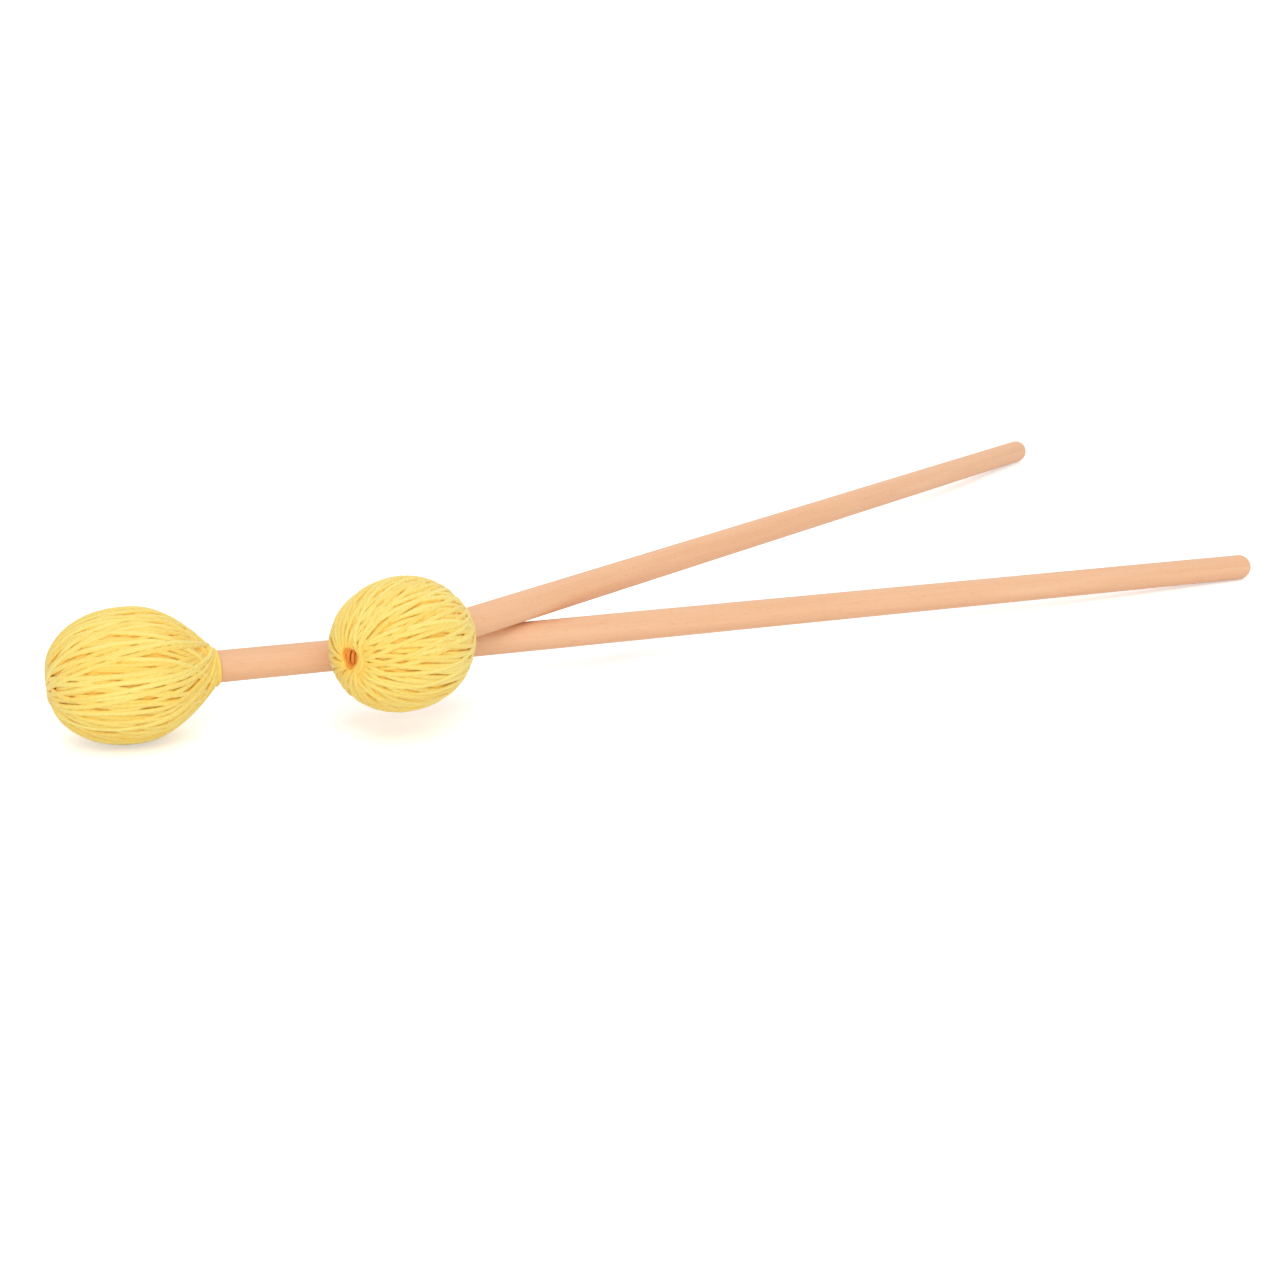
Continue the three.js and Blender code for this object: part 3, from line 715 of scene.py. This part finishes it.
def wool_yarn(name, pale, full, slot_shade, pit_shade):
    """Soft spun yarn, dyed: matt and slightly fuzzy. Its colour is painted deeper with its depth under the
    head's outside, from pale yellow to orange in the slots and pits: painted shade for the light that
    bounces between the strands."""
    material = new_material(name)
    ways = add_node(material, "SeparateXYZ", {}, {0: add_node(material, "TexCoord").outputs["UV"]})
    along, way = ways.outputs["X"], ways.outputs["Y"]
    # The dye took unevenly, so the tone changes over some 60 mm of yarn and differs from strand to strand.
    dye = add_node(material, "TexNoise", {"noise_dimensions": "1D", "Scale": 1 / TONE_LENGTH, "Detail": 1.0},
                   {"W": along})
    tone = add_node(material, "MapRange", {"From Min": 0.35, "From Max": 0.65},
                    {"Value": dye.outputs["Fac"]})
    outside = add_node(material, "Mix", {"data_type": "RGBA", MIX_A: linear(pale), MIX_B: linear(full)},
                       {MIX_FACTOR: tone.outputs[0]})
    # Painted shade: the colour darkens to the slot colour and then to the pit colour with the stored depth.
    depth = add_node(material, "Attribute", {"attribute_name": "depth"})
    slot_shade_share = add_node(material, "MapRange", {"From Min": SLOT_SHADE_FROM_DEPTH, "From Max": SLOT_SHADE_FULL_DEPTH},
                    {"Value": depth.outputs["Fac"]})
    slot_shaded = add_node(material, "Mix", {"data_type": "RGBA", MIX_B: linear(slot_shade)},
                     {MIX_FACTOR: slot_shade_share.outputs[0], MIX_A: outside.outputs[MIX_RESULT]})
    pit_shade_share = add_node(material, "MapRange", {"From Min": PIT_SHADE_FROM_DEPTH, "From Max": PIT_SHADE_FULL_DEPTH},
                    {"Value": depth.outputs["Fac"]})
    colour = add_node(material, "Mix", {"data_type": "RGBA", MIX_B: linear(pit_shade)},
                      {MIX_FACTOR: pit_shade_share.outputs[0], MIX_A: slot_shaded.outputs[MIX_RESULT]})
    # The plies turn round each other once every 6 mm, and the fibres run along the yarn.
    lay = add_node(material, "Math", {"operation": "MULTIPLY", 1: -PLIES * math.pi / PLY_PITCH}, {0: along})
    phase = add_node(material, "Math", {"operation": "MULTIPLY_ADD", 1: PLIES * math.pi},
                     {0: way, 2: lay.outputs[0]})
    wave = add_node(material, "Math", {"operation": "SINE"}, {0: phase.outputs[0]})
    ply = add_node(material, "Math", {"operation": "ABSOLUTE"}, {0: wave.outputs[0]})
    angle = add_node(material, "Math", {"operation": "MULTIPLY", 1: 2 * math.pi}, {0: way})
    sine = add_node(material, "Math", {"operation": "SINE"}, {0: angle.outputs[0]})
    cosine = add_node(material, "Math", {"operation": "COSINE"}, {0: angle.outputs[0]})
    fibre_place = add_node(material, "CombineXYZ", {}, {0: sine.outputs[0], 1: cosine.outputs[0], 2: along})
    fibre_scale = (YARN_RADIUS / FIBRE_WIDTH, YARN_RADIUS / FIBRE_WIDTH, 1 / FIBRE_LENGTH)
    fibre_way = add_node(material, "Mapping", {"Scale": fibre_scale}, {"Vector": fibre_place.outputs[0]})
    fibre = add_node(material, "TexNoise", {"Scale": 1.0, "Detail": 2.0}, {"Vector": fibre_way.outputs[0]})
    ply_bump = add_node(material, "Bump", {"Strength": 0.7, "Distance": PLY_DEPTH * MM},
                        {"Height": ply.outputs[0]})
    bump = add_node(material, "Bump", {"Strength": 0.6, "Distance": FIBRE_DEPTH * MM},
                    {"Height": fibre.outputs["Fac"], "Normal": ply_bump.outputs[0]})
    surface = shader(material)
    surface.inputs["Roughness"].default_value = 0.55
    surface.inputs["Specular IOR Level"].default_value = 0.5
    surface.inputs["Sheen Weight"].default_value = 0.15
    surface.inputs["Sheen Roughness"].default_value = 0.5
    material.node_tree.links.new(colour.outputs[MIX_RESULT], surface.inputs["Base Color"])
    material.node_tree.links.new(bump.outputs[0], surface.inputs["Normal"])
    return material


# The slot and pit colours are painted shade.
yarn = wool_yarn("wool_yarn", pale="#f8e27b", full="#f6d362", slot_shade="#fcd25b", pit_shade="#f0981c")
YARN_SEEDS = {"lower": 11, "upper": 5}
# The winding goes on from piece to piece, because in one it would have too many triangles.
YARN_PIECES = 4
section = yarn_section()
for side in SIDES:
    random = np.random.default_rng(YARN_SEEDS[side])
    hole = CROWN_HOLES[side]
    run, turn, depth = tops_to_outline(*settled(*winding_route(random, hole)), hole)
    run, turn = crown_shifted(run, turn, *CROWN_TILTS[side])
    points, outward = yarn_points(run, turn, depth)
    cuts = np.linspace(0, len(points) - 1, YARN_PIECES + 1).astype(int)
    for number, (begin, end) in enumerate(zip(cuts, cuts[1:])):
        part = slice(begin, end + 1)
        winding = strand(f"{side}_yarn_layer_{number + 1}", side, points[part], outward[part], section,
                         random, yarn)
        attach(winding, side + "_mallet")
        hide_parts(side + "_yarn_winding")

# The underwraps.
# Under the outer layer lie the first layers of the same yarn, packed close over the core. They show only as
# the floor of the slots, so they are one turned shell with a ridge for each strand.
UNDERWRAP_DEPTH = 0.95
UNDERWRAP_WALL = 2.5
UNDERWRAP_END = 1.5
UNDERWRAP_SHAFT_GAP = 0.3
UNDERWRAP_OUTSIDE_POINTS = 80
UNDERWRAP_INSIDE_POINTS = 24
UNDERWRAP_RIDGES = 60
UNDERWRAP_STEPS = 8 * UNDERWRAP_RIDGES
UNDERWRAP_RELIEF = 0.35
UNDERWRAP_LEAN = math.radians(30)
UNDERWRAP_TOP_RISE = 0.42
CROWN_PIT_DEPTH = 2.5
CROWN_PIT_SHARE = 1.05


def underwrap_face(depth, count):
    """(distance behind the crown, radius) points at a depth, from the axis at the crown to the neck."""
    places = np.linspace(RUN[0], RUN[-1] - UNDERWRAP_END, count)
    slope = np.interp(places, RUN, OUT_SLOPE)
    x = np.interp(places, RUN, OUT_X) + depth * np.sin(slope)
    r = radius_at(places) - depth * np.cos(slope)
    face = [(float(a), float(b)) for a, b in zip(x, r) if b > SHAFT_RADIUS + UNDERWRAP_SHAFT_GAP]
    return [(face[0][0], 0.0)] + face


underwrap_outside = underwrap_face(UNDERWRAP_DEPTH, UNDERWRAP_OUTSIDE_POINTS)
underwrap_inside = underwrap_face(UNDERWRAP_DEPTH + UNDERWRAP_WALL, UNDERWRAP_INSIDE_POINTS)
underwrap_neck = [(underwrap_outside[-1][0], SHAFT_RADIUS + UNDERWRAP_SHAFT_GAP)]
underwrap_outline = underwrap_outside + underwrap_neck + underwrap_inside[::-1]


def raise_ridges(mesh, side):
    """Sinks the skin between the strands of the under layers, which lean a little to the axis, fills the
    layers out on the upper side, and makes the pit under the crown's hole."""
    middle = Vector((WIDEST_FROM_CROWN, 0, 0))
    back = PLACES[side].inverted()
    to_hole = hole_place(side).inverted()
    for vertex in mesh.vertices:
        own = back @ vertex.co
        r = math.hypot(own.y, own.z)
        turn = math.atan2(own.z, own.y) + UNDERWRAP_LEAN * own.x / WINDING_LENGTH
        sink = UNDERWRAP_RELIEF * (1 - abs(math.sin(UNDERWRAP_RIDGES / 2 * turn))) * min(1, r / HEAD_RADIUS)
        sink -= UNDERWRAP_TOP_RISE * max(0, own.z / HEAD_RADIUS) ** 2
        own.y, own.z = (c * (1 - sink / max(r, 1)) for c in (own.y, own.z))
        if own.x < WIDEST_FROM_CROWN / 2:
            from_hole = to_hole @ own
            away = math.hypot(from_hole.y, from_hole.z) / (CROWN_PIT_SHARE * CROWN_HOLES[side])
            own += (middle - own).normalized() * CROWN_PIT_DEPTH * math.exp(-away ** 4)
        vertex.co = PLACES[side] @ own


for side in SIDES:
    underwrap = spun(side + "_under_layers", underwrap_outline, UNDERWRAP_STEPS, PLACES[side], yarn)
    raise_ridges(underwrap.data, side)
    # Their depth gives the under layers the painted shade of the slots, and under the crown's hole that of
    # the pit.
    mark_depth(underwrap.data, side)
    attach(underwrap, side + "_mallet")
    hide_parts(side + "_underwrap")

# The crown stitches.
# A thread goes to and fro across the small hole at the crown and through the runs round it, and draws them
# together. Its deeper orange than the yarn's is painted shade for the bottom of the hole, and its passes
# fill that bottom like knots.
THREAD_SHARE = 0.8
THREAD_PASSES = {"lower": 1, "upper": 3}
THREAD_SPACING = 1.35
THREAD_CLEARANCE = 0.4
THREAD_DEPTH = 2.0
THREAD_SAG = 1.3
THREAD_WEAVE = 0.2
THREAD_STEPS = 40
THREAD_SEED = 3
# The thread's deep orange colours are painted shade for the bottom of the crown's hole.
thread = wool_yarn("thread_in_painted_shade", pale="#f8ae32", full="#f5a42a", slot_shade="#f19a24", pit_shade="#ec8e20")
for side in SIDES:
    random = np.random.default_rng(THREAD_SEED)
    passes = THREAD_PASSES[side]
    turns = np.linspace(0, passes * math.pi, THREAD_STEPS * passes)
    z = (CROWN_HOLES[side] - THREAD_CLEARANCE) * np.cos(turns)
    y = THREAD_SPACING * (turns / math.pi + np.sin(2 * turns) / (2 * math.pi) - passes / 2)
    x = THREAD_DEPTH + THREAD_SAG * np.cos(turns) ** 2 + THREAD_WEAVE * np.sin(turns / 2)
    crown = hole_place(side)
    points = moved(np.stack([x, y, z], axis=1), crown)
    outward = np.tile(-np.array(crown.col[0][:3]), (len(points), 1))
    stitch = strand(side + "_stitching_thread", side, points, outward, section, random, thread,
                    size=THREAD_SHARE)
    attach(stitch, side + "_mallet")
    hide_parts(side + "_crown_stitch")

# The neck bindings.
# The yarn's last turns go round the shaft, tight behind the head, and make its smooth lip. The end is tucked
# under them.
BINDING_TURNS = 2
BINDING_FROM = WINDING_LENGTH - 0.4
BINDING_ADVANCE = 0.75
BINDING_SHARE = 0.8
BINDING_TUCK = 0.8
BINDING_TUCK_TURN = 0.7
BINDING_CLEARANCE = 0.1
BINDING_START = math.radians(60)
BINDING_STEP = 0.08
BINDING_SEED = 4
for side in SIDES:
    random = np.random.default_rng(BINDING_SEED)
    turns = np.arange(0, BINDING_TURNS * 2 * math.pi, BINDING_STEP)
    tucked = np.clip((turns - turns[-1]) / BINDING_TUCK_TURN + 1, 0, 1) ** 2
    ring = SHAFT_RADIUS + YARN_HALF_THICKNESS * BINDING_SHARE + BINDING_CLEARANCE - BINDING_TUCK * tucked
    x = BINDING_FROM + BINDING_ADVANCE * turns / (2 * math.pi) - BINDING_TUCK * tucked
    angles = BINDING_START + turns
    outward = np.stack([0 * x, np.cos(angles), np.sin(angles)], axis=1)
    points = np.column_stack([x, np.zeros((len(x), 2))]) + outward * ring[:, None]
    binding = strand(side + "_last_turn", side, points, outward, section, random, yarn, size=BINDING_SHARE)
    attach(binding, side + "_mallet")
    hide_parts(side + "_neck_binding")

bpy.data.objects.remove(section)

# The floor and the light.
# A white paper floor in soft light from all round. A large lamp stands high on the camera's side, a long
# low one fills the heads from the front, and a third lights them from behind.
FLOOR_REACH = 6.0
FLOOR_LIFT = 0.45
ROOM_LIGHT = 0.63
floor_mesh = bpy.data.meshes.new("studio_floor")
bm = bmesh.new()
bmesh.ops.create_grid(bm, x_segments=1, y_segments=1, size=FLOOR_REACH)
bm.to_mesh(floor_mesh)
bm.free()


def seen(material):
    """1 where a surface is seen, straight or in a gloss or glass, and 0 where it only lights the object."""
    path = add_node(material, "LightPath")
    direct_or_gloss = add_node(material, "Math", {"operation": "MAXIMUM"},
                               {0: path.outputs["Is Camera Ray"], 1: path.outputs["Is Glossy Ray"]})
    any_of_three = add_node(material, "Math", {"operation": "MAXIMUM"},
                            {0: direct_or_gloss.outputs[0], 1: path.outputs["Is Transmission Ray"]})
    return any_of_three.outputs[0]


def white_paper():
    """Matt white paper. Where it is seen, it is lifted to white and keeps the shadow."""
    material = new_material("white_paper")
    surface = shader(material)
    surface.inputs["Base Color"].default_value = linear("#f2f2f2")
    surface.inputs["Roughness"].default_value = 1.0
    surface.inputs["Specular IOR Level"].default_value = 0.0
    strength = add_node(material, "Math", {"operation": "MULTIPLY", 1: FLOOR_LIFT}, {0: seen(material)})
    lift = add_node(material, "Emission", {"Color": (1, 1, 1, 1)}, {"Strength": strength.outputs[0]})
    lifted = add_node(material, "AddShader", {}, {0: surface.outputs[0], 1: lift.outputs[0]})
    output = material.node_tree.nodes["Material Output"]
    material.node_tree.links.new(lifted.outputs[0], output.inputs["Surface"])
    return material


floor = new_object("studio_floor", floor_mesh, white_paper())

room = bpy.data.worlds.new("white_room")
room.use_nodes = True
bpy.context.scene.world = room
walls = room.node_tree.nodes["Background"]
walls.inputs["Color"].default_value = (1, 1, 1, 1)
wall_strength = add_node(room, "MapRange", {"To Min": ROOM_LIGHT, "To Max": 1.0}, {"Value": seen(room)})
room.node_tree.links.new(wall_strength.outputs[0], walls.inputs["Strength"])


def soft_lamp(name, place, watts, width, height):
    """A large rectangular lamp, turned to the mallets."""
    data = bpy.data.lights.new(name, "AREA")
    data.shape = "RECTANGLE"
    data.size = width
    data.size_y = height
    data.energy = watts
    lamp = bpy.data.objects.new(name, data)
    bpy.context.scene.collection.objects.link(lamp)
    lamp.matrix_world = Matrix.Translation(place) @ place.to_track_quat("Z", "Y").to_matrix().to_4x4()


soft_lamp("softbox", Vector((-0.8, -1.8, 2.6)), watts=32, width=1.6, height=1.6)
soft_lamp("low_fill", Vector((-0.8, -2.9, 0.35)), watts=16, width=2.4, height=0.5)
soft_lamp("back_light", Vector((0.8, 1.9, 2.5)), watts=19, width=1.6, height=1.6)

bpy.context.scene.view_settings.view_transform = "Standard"
